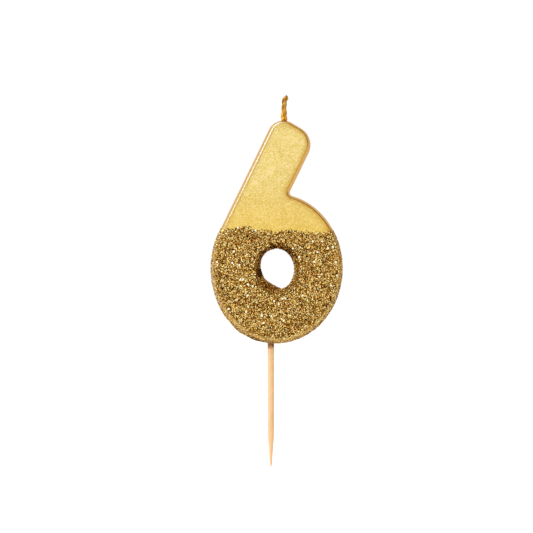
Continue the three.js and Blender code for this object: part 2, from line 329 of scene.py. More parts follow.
def inside_points(outer, inner, spacing, rng):
    """Loosely gridded points between two closed outlines, clear of both."""
    low, high = outer.min(0), outer.max(0)
    xs = np.arange(low[0], high[0], spacing)
    ys = np.arange(low[1], high[1], spacing * ROW_STEP)
    grid = np.stack(np.meshgrid(xs, ys), -1)
    grid[1::2, :, 0] += spacing / 2
    grid = grid.reshape(-1, 2) + rng.uniform(-JITTER, JITTER, (grid.size // 2, 2)) * spacing

    def within(loop):
        x, y = grid[:, :1], grid[:, 1:]
        a, b = loop, np.roll(loop, -1, 0)
        spans = (a[:, 1] > y) != (b[:, 1] > y)
        rise = np.where(b[:, 1] == a[:, 1], 1e-9, b[:, 1] - a[:, 1])
        crosses = x < (b[:, 0] - a[:, 0]) * (y - a[:, 1]) / rise + a[:, 0]
        return (spans & crosses).sum(1) % 2 == 1

    def clear(loop):
        nearest = np.full(len(grid), np.inf)
        for part in np.array_split(loop, len(loop) // 64 + 1):
            nearest = np.minimum(nearest, np.linalg.norm(grid[:, None] - part[None], axis=2).min(1))
        return nearest > spacing * MARGIN

    return grid[within(outer) & ~within(inner) & clear(outer) & clear(inner)]


def face_triangles(outer, inner, middle):
    """Triangles over the ring between two outlines, as rows of indices into all three lists in turn."""
    points = np.concatenate([outer, inner, middle])
    n, m = len(outer), len(inner)
    edges = [(i, (i + 1) % n) for i in range(n)] + [(n + i, n + (i + 1) % m) for i in range(m)]
    made = geometry.delaunay_2d_cdt([Vector(p) for p in points], edges, [], 1, 1e-6)
    source = [origin[0] for origin in made[3]]
    rows = np.array([[source[i] for i in face] for face in made[2]])
    over_hole = ((rows >= n) & (rows < n + m)).all(1)
    return rows[~over_hole]


EDGE_END = FRONT + EDGE_DEPTH * 0.9  # faces in front of this belong to the rim and the rounded edge


def numeral_surface(spacing, face_spacing, grow, seed, pool=False):
    """The numeral's skin: vertices, quads, triangles and the name of the place that each face lies in.

    grow is how far the faces, the outer wall and the counter's wall stand out of the lacquer.
    """
    rng = np.random.default_rng(seed)
    outer, outer_normals = outer_outline(spacing)
    inner, inner_normals = counter_outline(spacing)
    stations = section(spacing)
    n, m, rings = len(outer), len(inner), len(stations)
    vertices = []
    for depth, inset in stations:
        y = depth + np.interp(depth, [FRONT + FACE_SINK, FRONT + EDGE_DEPTH], [-1, 0]) * grow[0]
        y += np.interp(depth, [BACK - BACK_EDGE, BACK], [0, 1]) * grow[0]
        hole = grow[2] - inset + (pool_at(inner, inner_normals, depth) if pool else np.zeros(m))
        around = outer + outer_normals * (grow[1] - inset + flash_at(outer, inset))[:, None]
        within = inner + inner_normals * hole[:, None]
        flat = np.concatenate([around, within])
        vertices.append(np.stack([flat[:, 0], np.full(n + m, y), flat[:, 1]], 1))
    per_ring = n + m
    quads, places = [], []
    for ring in range(rings - 1):
        for start, count, place in ((0, n, "wall"), (n, m, "counter")):
            a = ring * per_ring + start + np.arange(count)
            b = ring * per_ring + start + (np.arange(count) + 1) % count
            quads.append(np.stack([a, a + per_ring, b + per_ring, b], 1))
            on_edge = stations[ring + 1, 0] < EDGE_END
            places += [(place + "_edge") if on_edge else place] * count
    total = rings * per_ring
    triangles = []
    for ring, place, flip in ((0, "front", False), (rings - 1, "back", True)):
        around = vertices[ring][:n][:, [0, 2]]
        within = vertices[ring][n:][:, [0, 2]]
        middle = inside_points(around, within, face_spacing, rng)
        y = vertices[ring][0, 1]
        vertices.append(np.stack([middle[:, 0], np.full(len(middle), y), middle[:, 1]], 1))
        rows = face_triangles(around, within, middle)
        rows = np.where(rows < per_ring, rows + ring * per_ring, rows - per_ring + total)
        total += len(middle)
        triangles.append(rows[:, ::-1] if flip else rows)
        places += [place] * len(rows)
    return np.concatenate(vertices), np.concatenate(quads), np.concatenate(triangles), np.array(places)


SEED_STEP = 13.7, 5.1, 9.3  # how far each seed's noise lies from the last one's


def low_noise(points, scale, seed):
    """Smooth noise between -1 and 1 at each point."""
    shift = Vector([seed * step for step in SEED_STEP])
    return np.array([noise.noise(Vector(p) * scale + shift) for p in points])


def layered_noise(points, layers):
    """Noises added together at each point, each given as [height, scale, seed]."""
    return sum(height * low_noise(points, scale, seed) for height, scale, seed in layers)


def vertex_normals(vertices, quads, triangles):
    """Each vertex's normal, averaged over its faces by their area."""
    corners = np.concatenate([triangles, quads[:, [0, 1, 2]], quads[:, [0, 2, 3]]])
    a, b, c = (vertices[corners[:, k]] for k in range(3))
    facing = np.cross(b - a, c - a)
    normals = np.zeros_like(vertices)
    for k in range(3):
        np.add.at(normals, corners[:, k], facing)
    return normals / np.maximum(np.linalg.norm(normals, axis=1), 1e-12)[:, None]


def mound(vertices, centre, radius, height):
    """Height of a soft mound where a wick or pick comes out of the skin."""
    away = np.linalg.norm(vertices - centre, axis=1)
    return height * np.exp(-((away / radius) ** 2))


def below_line(points, stray):
    """Which points lie below the glitter's line, raised by stray."""
    return points[:, 2] < np.interp(points[:, 0], GLITTER_LINE[:, 0], GLITTER_LINE[:, 1]) + stray


def thicken(piece, thickness):
    """Gives a sheet its thickness, inwards from its surface."""
    solidify = piece.modifiers.new("thickness", "SOLIDIFY")
    solidify.thickness = thickness * MM
    solidify.offset = -1


# ---------------------------------------------------------------- materials

# A mesh attribute: 0 on the face, 0.5 for painted shade inside the rim, 1 for a painted highlight on the
# crest.
RIM_LIGHT_AND_SHADE = "rim"

# Heights in metres between which a colour changes.
# The stem's face turns paler and whiter upwards between these heights: a painted sheen.
STEM_SHEEN_HEIGHTS = 0.036, 0.052
# The wick's foot, bright with gathered lacquer and painted light, ends between these heights.
LACQUERED_AND_LIT_FOOT = 0.0722, 0.0752
BURNT_TIP = 0.079, 0.0794
# The neck's gold-brown stain and painted shadow fade out downwards between these heights.
STAINED_AND_SHADED_NECK = -0.0011, -0.0006
NECK_UNEVENNESS = 0.0014


def new_material(name, **sockets):
    """A material, its node tree and its shader, with the shader's sockets set to the values given."""
    material = bpy.data.materials.new(name)
    material.use_nodes = True
    shader = material.node_tree.nodes["Principled BSDF"]
    for socket, value in sockets.items():
        shader.inputs[socket.replace("_", " ")].default_value = value
    return material, material.node_tree, shader


def noise_node(tree, scale, detail, stretch=(1, 1, 1)):
    """Noise in the object's own space, its scale in features a metre."""
    where = tree.nodes.new("ShaderNodeTexCoord")
    mapping = tree.nodes.new("ShaderNodeMapping")
    mapping.inputs["Scale"].default_value = stretch
    texture = tree.nodes.new("ShaderNodeTexNoise")
    texture.inputs["Scale"].default_value = scale
    texture.inputs["Detail"].default_value = detail
    tree.links.new(where.outputs["Object"], mapping.inputs["Vector"])
    tree.links.new(mapping.outputs["Vector"], texture.inputs["Vector"])
    return texture.outputs["Fac"]


def ramp(tree, value, *stops):
    """A colour ramp of (position, colour) stops driven by value."""
    node = tree.nodes.new("ShaderNodeValToRGB")
    while len(node.color_ramp.elements) < len(stops):
        node.color_ramp.elements.new(0.5)
    for element, (position, colour) in zip(node.color_ramp.elements, stops):
        element.position = position
        element.color = (*colour, 1)
    tree.links.new(value, node.inputs["Fac"])
    return node.outputs["Color"]


def blended(tree, first, second, factor, mode="MIX"):
    """Two colours mixed by a factor, each of the three a socket or a constant."""
    node = tree.nodes.new("ShaderNodeMix")
    node.data_type = "RGBA"
    node.blend_type = mode
    for socket, value in ((node.inputs[6], first), (node.inputs[7], second), (node.inputs[0], factor)):
        if isinstance(value, bpy.types.NodeSocket):
            tree.links.new(value, socket)
        elif socket.type == "RGBA":
            socket.default_value = (*value, 1)
        else:
            socket.default_value = value
    return node.outputs[2]


def in_range(tree, value, from_low, from_high, to_low, to_high):
    """A value carried from one range to another and held at its ends."""
    node = tree.nodes.new("ShaderNodeMapRange")
    tree.links.new(value, node.inputs["Value"])
    for socket, number in zip(node.inputs[1:5], (from_low, from_high, to_low, to_high)):
        socket.default_value = number
    return node.outputs["Result"]


def surfaced(tree, shader, colour, relief, strength, distance):
    """Gives a shader its colour and its relief, whose distance is in metres."""
    tree.links.new(colour, shader.inputs["Base Color"])
    node = tree.nodes.new("ShaderNodeBump")
    node.inputs["Strength"].default_value = strength
    node.inputs["Distance"].default_value = distance
    tree.links.new(relief, node.inputs["Height"])
    tree.links.new(node.outputs["Normal"], shader.inputs["Normal"])


def sideways(tree):
    """0 on the front and back faces, 1 on the walls."""
    facing = tree.nodes.new("ShaderNodeNewGeometry")
    parts = tree.nodes.new("ShaderNodeSeparateXYZ")
    flat = tree.nodes.new("ShaderNodeMath")
    flat.operation = "ABSOLUTE"
    tree.links.new(facing.outputs["Normal"], parts.inputs["Vector"])
    tree.links.new(parts.outputs["Y"], flat.inputs[0])
    return in_range(tree, flat.outputs[0], 0.25, 0.8, 1, 0)


def elevation(tree):
    """The height of each point, in metres."""
    where = tree.nodes.new("ShaderNodeTexCoord")
    parts = tree.nodes.new("ShaderNodeSeparateXYZ")
    tree.links.new(where.outputs["Object"], parts.inputs["Vector"])
    return parts.outputs["Z"]


def above(tree, low, high):
    """0 below the first height, 1 above the second, in metres."""
    return in_range(tree, elevation(tree), low, high, 0, 1)


def gold_material():
    """Pearl gold lacquer: finely grained, mottled, darker and warmer on the walls; painted sheen, rim
    shade and rim highlight.
    """
    material, tree, shader = new_material(
        "pearl_gold_lacquer", Metallic=0.95, Roughness=0.3, Specular_Tint=(0.95, 0.64, 0.26, 1),
    )
    grain = ramp(
        tree, noise_node(tree, 2600, 3),
        (0.28, (0.66, 0.46, 0.05)), (0.5, (0.8, 0.585, 0.15)), (0.74, (0.94, 0.73, 0.29)),
    )
    # The upper stem paler and whiter: a painted sheen.
    pale = blended(tree, grain, (1.03, 1.13, 1.68), above(tree, *STEM_SHEEN_HEIGHTS), "MULTIPLY")
    mottle = ramp(tree, noise_node(tree, 330, 4), (0.3, (0.93, 0.91, 0.84)), (0.7, (1, 1, 1)))
    cloud = ramp(tree, noise_node(tree, 90, 2), (0.35, (0.96, 0.95, 0.9)), (0.65, (1, 1, 1)))
    face = blended(tree, blended(tree, pale, mottle, 1.0, "MULTIPLY"), cloud, 1.0, "MULTIPLY")
    # Painted shade inside the rim (0.5) and a painted highlight on its crest (1), from the rim attribute.
    rim = tree.nodes.new("ShaderNodeAttribute")
    rim.attribute_name = RIM_LIGHT_AND_SHADE
    painted_rim = ramp(
        tree, rim.outputs["Fac"],
        (0, (1, 1, 1)), (0.5, (0.74, 0.59, 0.37)), (0.75, (0.95, 0.95, 0.9)), (1, (1, 1.14, 2.5)),
    )
    face = blended(tree, face, painted_rim, 1.0, "MULTIPLY")
    wall = ramp(
        tree, noise_node(tree, 1200, 3),
        (0.3, (0.59, 0.38, 0.125)), (0.7, (0.75, 0.52, 0.22)),
    )
    colour = blended(tree, face, wall, sideways(tree))
    roughness = in_range(tree, noise_node(tree, 900, 3), 0.3, 0.7, 0.24, 0.36)
    tree.links.new(roughness, shader.inputs["Roughness"])
    surfaced(tree, shader, colour, noise_node(tree, 2100, 3), 0.5, 0.00003)
    return material


def wax_material():
    """Pale paraffin, hidden under the lacquer."""
    material, tree, shader = new_material(
        "paraffin_wax", Roughness=0.45, Subsurface_Weight=0.4, Subsurface_Scale=0.002
    )
    colour = ramp(tree, noise_node(tree, 260, 3), (0.3, (0.84, 0.74, 0.52)), (0.7, (0.9, 0.82, 0.63)))
    surfaced(tree, shader, colour, noise_node(tree, 700, 2), 0.3, 0.00005)
    return material


def glue_material():
    """Dried glue with fine gold dust in it."""
    material, tree, shader = new_material("dried_glue", Metallic=0.35, Roughness=0.22)
    colour = ramp(tree, noise_node(tree, 800, 3), (0.3, (0.34, 0.19, 0.04)), (0.7, (0.6, 0.4, 0.12)))
    surfaced(tree, shader, colour, noise_node(tree, 1500, 2), 0.6, 0.00006)
    return material


BED_TONES = (0.09, 0.04, 0.005), (0.26, 0.138, 0.024), (0.5, 0.285, 0.065)
# Darker tones for the bed where the counter is painted as shade.
COUNTER_SHADE_BED_TONES = (0.03, 0.01, 0.001), (0.12, 0.05, 0.006), (0.3, 0.15, 0.025)


def bed_material(name, tones):
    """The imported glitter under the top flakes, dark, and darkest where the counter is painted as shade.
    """
    material, tree, shader = new_material(
        name, Metallic=0.75, Roughness=0.4, Specular_Tint=(0.6, 0.3, 0.06, 1)
    )
    colour = ramp(tree, noise_node(tree, 2400, 2), *zip((0.32, 0.5, 0.68), tones))
    surfaced(tree, shader, colour, noise_node(tree, 3600, 2), 0.8, 0.00008)
    return material


# Each flake tone: base colour, roughness and share of the flakes.
FLAKE_TONES = {
    "deep": ((0.03, 0.006, 0.0002), 0.36, 0.32),
    "amber": ((0.36, 0.1, 0.003), 0.32, 0.16),
    "olive": ((0.3, 0.175, 0.01), 0.32, 0.06),
    "mid": ((0.62, 0.33, 0.04), 0.3, 0.08),
    "light": ((1.0, 0.67, 0.165), 0.29, 0.13),
    "rose": ((1.0, 0.55, 0.2), 0.29, 0.03),
    "pale": ((1.0, 0.85, 0.38), 0.29, 0.22),
    # Only the glints take this tone: white painted as their glint.
    "white": ((1.0, 0.96, 0.72), 0.28, 0.0),
}
DEEP = list(FLAKE_TONES).index("deep")
GLINT_WHITE = list(FLAKE_TONES).index("white")
GLANCING_POWER = 0.4  # brings a tone's glancing colour nearer to white than the tone itself
# How much commoner each tone is in the counter's shade, on the outer wall and in the pool, where the
# tones are lightened as painted light.
SHADED = {"deep": 2.2, "amber": 1.8, "olive": 0.6, "light": 0.4, "pale": 0.1}
LIT = {"deep": 0.2, "amber": 0.7, "rose": 2.0, "light": 1.4, "pale": 1.2}
LIT_POOL_GLITTER = {"deep": 0.1, "amber": 1.2, "rose": 4.0, "light": 2.0, "olive": 0.3, "pale": 1.2}
# The share of a counter flake's tones taken from SHADED, by angle round the counter in degrees.
COUNTER_SHADE = np.array([
    [-40, 0], [5, 0.1], [25, 0.25], [45, 0.75], [60, 1], [90, 1], [110, 0.7], [140, 0.5], [165, 0.45],
    [200, 0.35], [215, 0], [320, 0],
])
# Painted shade: flakes here take the darkest tone, standing for a hollow at the pool's upper end.
PIT_SHADE = np.array([-3.55, 22.3])  # a dark hollow at the pool's upper end
PIT_SHADE_HALF_SIZE = np.array([0.65, 1.4])


def flake_materials():
    """Metallised film in several tones, one to a flake, its glancing colour drifting between flakes."""
    made = []
    for tone, (colour, roughness, _) in FLAKE_TONES.items():
        material, tree, shader = new_material(f"glitter_{tone}", Metallic=1.0, Roughness=roughness)
        shader.inputs["Base Color"].default_value = (*colour, 1)
        glancing = np.array(colour) ** GLANCING_POWER
        edge = ramp(tree, noise_node(tree, 1700, 1), (0.35, glancing * 0.8), (0.65, glancing))
        tree.links.new(edge, shader.inputs["Specular Tint"])
        made.append(material)
    return made


def wick_material():
    """Waxed cotton dipped in gold: bright at its foot, with gathered lacquer and painted light, and burnt
    at its tip.
    """
    material, tree, shader = new_material(
        "gold_waxed_cotton", Metallic=0.4, Roughness=0.46, Specular_IOR_Level=0.2
    )
    fibres = ramp(
        tree, noise_node(tree, 1500, 4, (1, 1, 0.35)),
        (0.34, (0.27, 0.1, 0.006)), (0.5, (0.6, 0.29, 0.018)), (0.68, (0.93, 0.6, 0.09)),
    )
    # Brighter at the foot, where lacquer gathers and painted light lifts the shade; a little darker
    # above.
    lacquered_and_lit = blended(tree, (1.2, 1.2, 1.25), (0.86, 0.84, 1), above(tree, *LACQUERED_AND_LIT_FOOT))
    fibres = blended(tree, fibres, lacquered_and_lit, 1.0, "MULTIPLY")
    colour = blended(tree, fibres, (0.12, 0.09, 0.07), above(tree, *BURNT_TIP))
    surfaced(tree, shader, colour, noise_node(tree, 4200, 2, (1, 1, 0.3)), 0.7, 0.00006)
    return material


def pick_material():
    """Birch with its grain along the pick, and at the neck a gold-brown stain darkened as painted shadow.
    """
    material, tree, shader = new_material(
        "birch", Roughness=0.62, Subsurface_Weight=0.6, Subsurface_Scale=0.0015
    )
    grain = ramp(
        tree, noise_node(tree, 2200, 4, (1, 1, 0.045)),
        (0.3, (0.83, 0.58, 0.325)), (0.5, (0.86, 0.61, 0.355)), (0.72, (0.9, 0.65, 0.395)),
    )
    uneven = tree.nodes.new("ShaderNodeMath")
    uneven.operation = "MULTIPLY_ADD"
    tree.links.new(noise_node(tree, 900, 2), uneven.inputs[0])
    uneven.inputs[1].default_value = NECK_UNEVENNESS
    tree.links.new(elevation(tree), uneven.inputs[2])
    neck = in_range(tree, uneven.outputs[0], *STAINED_AND_SHADED_NECK, 0, 1)
    # The neck's gold-brown stain, darkened as painted shadow under the candle.
    stain_and_shadow = ramp(
        tree, noise_node(tree, 1100, 2),
        (0.42, (0.14, 0.055, 0.01)), (0.58, (0.6, 0.34, 0.11)),
    )
    colour = blended(tree, grain, stain_and_shadow, neck)
    surfaced(tree, shader, colour, noise_node(tree, 3800, 3, (1, 1, 0.06)), 0.5, 0.00004)
    return material


# ---------------------------------------------------------------- pieces

def declare(piece, node):
    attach(piece, ROOT)
    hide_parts(node)


# The rim attribute against the distance inside the outline, on edges that face up-left and on the bowl's
# underside, where the crest gets a painted highlight, and on the others, where painted shade lies inside
# the rim. A span is how squarely an edge faces its way, from no marks to all.
HIGHLIGHT_MARKS = np.array([[0.78, 0.55], [0.9, 1], [1.15, 1], [1.3, 0.6], [1.5, 0.12], [2.2, 0]])
UNDERSIDE_HIGHLIGHT_MARKS = np.array([[0.95, 0.75], [1.1, 1], [1.5, 1], [1.75, 0]])
INNER_SHADE_MARKS = np.array([[1.2, 0.5], [1.6, 0.3], [2.5, 0]])
HIGHLIGHT_SIDE = direction(math.radians(140))
HIGHLIGHT_SPAN = 0.3, 0.7
UNDERSIDE = direction(math.radians(262))
UNDERSIDE_SPAN = 0.6, 0.8


def painted_rim_light(vertices):
    """The rim attribute at each vertex, its painted shade and highlight, from the nearest outline point
    and its facing.
    """
    outline, facing = outer_outline(spacing=0.4)
    away = np.linalg.norm(vertices[:, None, [0, 2]] - outline[None], axis=2)
    nearest, inset = away.argmin(1), away.min(1)
    tables = INNER_SHADE_MARKS, HIGHLIGHT_MARKS, UNDERSIDE_HIGHLIGHT_MARKS
    inner_shade, crest_highlight, under_highlight = (np.interp(inset, marks[:, 0], marks[:, 1]) for marks in tables)
    in_front = vertices[:, 1] < 0
    up_left = np.interp(facing[nearest] @ HIGHLIGHT_SIDE, HIGHLIGHT_SPAN, [0, 1]) * in_front
    down = np.interp(facing[nearest] @ UNDERSIDE, UNDERSIDE_SPAN, [0, 1]) * in_front
    return inner_shade * (1 - up_left - down) + crest_highlight * up_left + under_highlight * down


def gold_skin():
    """The lacquered casting: a raised rim, uneven faces and lacquer drawn up the wick and the pick."""
    vertices, quads, triangles, _ = numeral_surface(
        spacing=0.45, face_spacing=0.9, grow=(0, 0, 0), seed=1
    )
    normals = vertex_normals(vertices, quads, triangles)
    lift = layered_noise(vertices, GOLD_UNEVENNESS)
    lift += mound(vertices, WICK_EXIT, *WICK_MOUND) + mound(vertices, np.zeros(3), *PICK_MOUND)
    on_face = np.abs(normals[:, 1]) > 0.9
    lift = np.where(on_face, lift - GOLD_UNEVENNESS[0][0], lift)
    vertices = vertices + normals * lift[:, None]
    piece = mesh_object("gold_skin", vertices, [quads, triangles], [gold_material()])
    # The rim's painted shade and highlight, kept as a mesh attribute.
    marks = piece.data.attributes.new(RIM_LIGHT_AND_SHADE, "FLOAT", "POINT")
    marks.data.foreach_set("value", painted_rim_light(vertices).astype(np.float32))
    declare(piece, "gold_lacquer")


def wax_casting():
    """The wax under the lacquer, following its rim and sunk face."""
    vertices, quads, triangles, _ = numeral_surface(
        spacing=0.9, face_spacing=2.0, grow=(-LACQUER_THICKNESS,) * 3, seed=3
    )
    piece = mesh_object("wax_casting", vertices, [quads, triangles], [wax_material()])
    declare(piece, "wax_body")


BED_ROUGHNESS = 0.07
BED_THICKNESS = 0.08
BED_MARGIN = 0.15


def crust_bed():
    """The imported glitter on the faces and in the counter, with a ragged edge and broken facets."""
    rng = np.random.default_rng(7)
    vertices, quads, triangles, places = numeral_surface(
        spacing=0.42, face_spacing=0.42, grow=(0.16, 0.04, 0.22), seed=5, pool=True
    )
    normals = vertex_normals(vertices, quads, triangles)
    vertices = vertices + normals * rng.uniform(-BED_ROUGHNESS, BED_ROUGHNESS, (len(vertices), 1))
    low = below_line(vertices, layered_noise(vertices, EDGE_STRAY) - BED_MARGIN)
    keep_quads = low[quads].all(1) & (np.char.find(places[: len(quads)], "wall") < 0)
    keep_triangles = low[triangles].all(1)
    corners = [vertices[quads].mean(1), vertices[triangles].mean(1)]
    shade, _ = counter_shade(np.concatenate(corners))
    # The counter's bed in painted shade takes the darker tones.
    in_painted_shade = (np.char.find(places, "counter") == 0) & (shade > 0.5)
    materials = [bed_material("glitter_bed", BED_TONES), bed_material("counter_shade_bed", COUNTER_SHADE_BED_TONES)]
    piece = mesh_object(
        "glitter_bed", vertices, [quads[keep_quads], triangles[keep_triangles]], materials,
        in_painted_shade[np.concatenate([keep_quads, keep_triangles])], smooth=False,
    )
    thicken(piece, BED_THICKNESS)
    declare(piece, "glitter_crust")


HEXAGON = np.stack([np.cos(np.arange(6) * math.pi / 3), np.sin(np.arange(6) * math.pi / 3)], 1)
FLAKE_DEPTH = 0.05


def flakes(name, centres, facing, radii, tilts, tones, materials, rng):
    """Hexagonal flakes: a flat face over a shallow point that sits in the crust."""
    count = len(centres)
    spin = rng.normal(size=(count, 3))
    first = unit(np.cross(facing, spin))
    second = np.cross(facing, first)
    up = facing * np.cos(tilts)[:, None] + first * np.sin(tilts)[:, None]
    first = np.cross(second, up)
    corners = (
        centres[:, None]
        + first[:, None] * HEXAGON[None, :, :1] * radii[:, None, None]
        + second[:, None] * HEXAGON[None, :, 1:] * radii[:, None, None]
    )
    points = centres - up * FLAKE_DEPTH
    vertices = np.concatenate([corners, points[:, None]], 1).reshape(-1, 3)
    vertices = np.clip(vertices, CRUST_LOW, CRUST_HIGH)
    base = np.arange(count)[:, None] * 7
    tops = base + np.arange(6)[None]
    sides = np.concatenate([base + np.array([[(k + 1) % 6, k, 6]]) for k in range(6)])
    material_of_face = np.concatenate([tones, np.tile(tones, 6)])
    piece = mesh_object(name, vertices, [tops, sides], materials, material_of_face, smooth=False)
    declare(piece, "glitter_crust")


# By place: flakes per square millimetre, how far they stand off the lacquer, their half width and tilt.
FLAKE_COVER = {
    "front": (18, (0.2, 0.3), (0.12, 0.2), 0.36),
    "wall_edge": (16, (0.05, 0.13), (0.12, 0.18), 0.3),
    "wall": (15, (0.06, 0.15), (0.12, 0.18), 0.45),
    "back": (17, (0.2, 0.3), (0.13, 0.2), 0.36),
    "counter_edge": (16, (0.15, 0.3), (0.12, 0.19), 0.45),
    "counter": (16, (0.15, 0.38), (0.13, 0.21), 0.8),
}
# By angle round the bowl in degrees: the share of flakes left on the outer wall and on its rim, and how
# far the tones on each lean to LIT, or below 0 to SHADED.
WALL_COVER = np.array([
    [-90, 1, 0.45, 0.4, 1], [-60, 1, 0.45, 0.4, 1], [-42, 1, 0.7, 0.4, 0.5], [-30, 1, 1, 0.3, -0.3],
    [-15, 1, 1, 0.6, 0], [0, 1, 1, 1, 0.4], [60, 1, 0.9, 0.9, 0.8], [150, 0.5, 0.6, 1, 0.6],
    [180, 0.3, 0.9, 1, 0.2], [205, 0.3, 0.85, 1, 0.2], [222, 0.6, 0.5, 0.8, 1], [240, 1, 0.5, 0.1, 1],
    [248, 1, 0.5, -0.3, 1], [262, 1, 0.5, -0.2, 1], [270, 1, 0.45, 0.4, 1],
])
FLAKE_PIECES = {
    "glitter_front": (("front", "counter_edge"), {}),
    "glitter_back": (("back",), {}),
    "glitter_rim": (("wall_edge", "wall"), {}),
    "glitter_counter": (("counter",), LIT_POOL_GLITTER),
}
RIM_FACING = -0.7  # the outer edge belongs to the rim where its normal's depth is less than this
FLAKE_STRAY = 0.22  # how far single flakes stray from the glitter's edge

# The large white flakes, their white a painted glint: their share, half width, tilt against the others'
# and height over them.
GLINT_SHARE = 0.0022
GLINT_RADIUS = 0.36
GLINT_TILT = 0.2
GLINT_LIFT = 0.06


def by_angle(points, centre, table, column=1):
    """A table's column, read at each point's angle round a centre."""
    away = np.degrees(np.arctan2(points[:, 2] - centre[1], points[:, 0] - centre[0]))
    start = table[0, 0]
    return np.interp((away - start) % 360 + start, table[:, 0], table[:, column])


def counter_shade(points):
    """How dark the counter is painted at each place, as shade from 0 to 1, and which places lie in the
    pit's painted shade.
    """
    shade = by_angle(points, COUNTER_CENTRE, COUNTER_SHADE)
    in_pit_shade = (((points[:, [0, 2]] - PIT_SHADE) / PIT_SHADE_HALF_SIZE) ** 2).sum(1) < 1
    return shade, in_pit_shade


def drawn_tones(count, lean, rng):
    """A tone for each flake, drawn by the tones' shares, multiplied by lean where it names them."""
    shares = np.array([share * lean.get(tone, 1) for tone, (_, _, share) in FLAKE_TONES.items()])
    return rng.choice(len(shares), count, p=shares / shares.sum())


def rim_cover(centres, normals):
    """The share of flakes kept at each place on the outer wall, and which way their tones lean."""
    wall, rim, wall_lean, rim_lean = (
        by_angle(centres, BOWL_CENTRE, WALL_COVER, column) for column in (1, 2, 3, 4)
    )
    on_rim = normals[:, 1] < RIM_FACING
    return np.where(on_rim, rim, wall), np.where(on_rim, rim_lean, wall_lean)


def thrown(where, corners, places, rng):
    """Flakes thrown over one place's triangles: their centres, normals, half widths and tilts."""
    density, stand, size, tilt = FLAKE_COVER[where]
    a, b, c = corners[:, places == where]
    cross = np.cross(b - a, c - a)
    area = np.linalg.norm(cross, axis=1) / 2
    count = round(area.sum() * density)
    face = rng.choice(len(area), count, p=area / area.sum())
    u, v = rng.random((2, count, 1))
    u, v = np.where(u + v > 1, 1 - u, u), np.where(u + v > 1, 1 - v, v)
    at = a[face] + (b[face] - a[face]) * u + (c[face] - a[face]) * v
    normals = (cross / (2 * area[:, None]))[face]
    centres = at + normals * rng.uniform(*stand, (count, 1))
    return centres, normals, rng.uniform(*size, count), np.abs(rng.normal(0, tilt, count))


def glitter():
    """Thousands of separate flakes laid over the crust's bed, sparser on the outer wall."""
    rng = np.random.default_rng(23)
    vertices, quads, triangles, places = numeral_surface(
        spacing=0.6, face_spacing=1.2, grow=(0, 0, 0), seed=9, pool=True
    )
    rows = np.concatenate([quads[:, [0, 1, 2]], quads[:, [0, 2, 3]], triangles])
    places = np.concatenate([places[: len(quads)], places])
    corners = vertices[rows.T]
    materials = flake_materials()
    for name, (here, lean) in FLAKE_PIECES.items():
        parts = zip(*(thrown(where, corners, places, rng) for where in here))
        centres, normals, radii, tilts = (np.concatenate(part) for part in parts)
        stray = layered_noise(centres, EDGE_STRAY) + rng.normal(0, FLAKE_STRAY, len(centres))
        kept = below_line(centres, stray)
        cover, rim_lean = rim_cover(centres, normals)
        if name == "glitter_rim":
            kept &= rng.random(len(centres)) < cover
        centres, normals, radii, tilts = centres[kept], normals[kept], radii[kept], tilts[kept]
        tones = drawn_tones(len(centres), lean, rng)
        if name == "glitter_rim":
            leaning = rng.random(len(centres))
            tones = np.where(leaning < rim_lean[kept], drawn_tones(len(centres), LIT, rng), tones)
            tones = np.where(leaning < -rim_lean[kept], drawn_tones(len(centres), SHADED, rng), tones)
        glints = rng.random(len(centres)) < GLINT_SHARE
        if name == "glitter_counter":
            shade, in_pit_shade = counter_shade(centres)
            shaded = rng.random(len(centres)) < shade
            tones = np.where(shaded, drawn_tones(len(centres), SHADED, rng), tones)
            # The darkest tone in the pit, as painted shade.
            tones[in_pit_shade] = DEEP
        elif name != "glitter_rim":
            # Glints: white flakes turned to the front, larger and raised, their white a painted glint.
            tones[glints] = GLINT_WHITE
            tilts[glints] *= GLINT_TILT
            radii[glints] = GLINT_RADIUS
            centres[glints] += normals[glints] * GLINT_LIFT
        flakes(name, centres, normals, radii, tilts, tones, materials, rng)


def smooth_route(points, count):
    """Evenly spaced points along a centripetal Catmull-Rom curve, as three.js draws it."""
    p = np.array([[x, 0, z] for x, z in points], dtype=float)
    p = np.vstack([2 * p[0] - p[1], p, 2 * p[-1] - p[-2]])
    dense = []
    for k in range(1, len(p) - 2):
        p0, p1, p2, p3 = p[k - 1 : k + 3]
        d0, d1, d2 = (np.linalg.norm(q - r) ** 0.5 for q, r in ((p1, p0), (p2, p1), (p3, p2)))
        m1 = (p1 - p0) / d0 - (p2 - p0) / (d0 + d1) + (p2 - p1) / d1
        m2 = (p2 - p1) / d1 - (p3 - p1) / (d1 + d2) + (p3 - p2) / d2
        m1, m2 = m1 * d1, m2 * d1
        t = np.linspace(0, 1, ROUTE_STEPS, endpoint=k == len(p) - 3)[:, None]
        dense.append(
            p1 + m1 * t + (3 * (p2 - p1) - 2 * m1 - m2) * t**2 + (2 * (p1 - p2) + m1 + m2) * t**3
        )
    dense = np.concatenate(dense)
    reach = np.concatenate([[0], np.cumsum(np.linalg.norm(np.diff(dense, axis=0), axis=1))])
    at = np.linspace(0, reach[-1], count)
    return np.stack([np.interp(at, reach, dense[:, k]) for k in range(3)], 1), at


def ring_quads(count, sides):
    """The quads between count rings of as many sides."""
    ring, k = np.meshgrid(np.arange(count - 1), np.arange(sides), indexing="ij")
    a = (ring * sides + k).ravel()
    b = (ring * sides + (k + 1) % sides).ravel()
    return np.stack([a, b, b + sides, a + sides], 1)


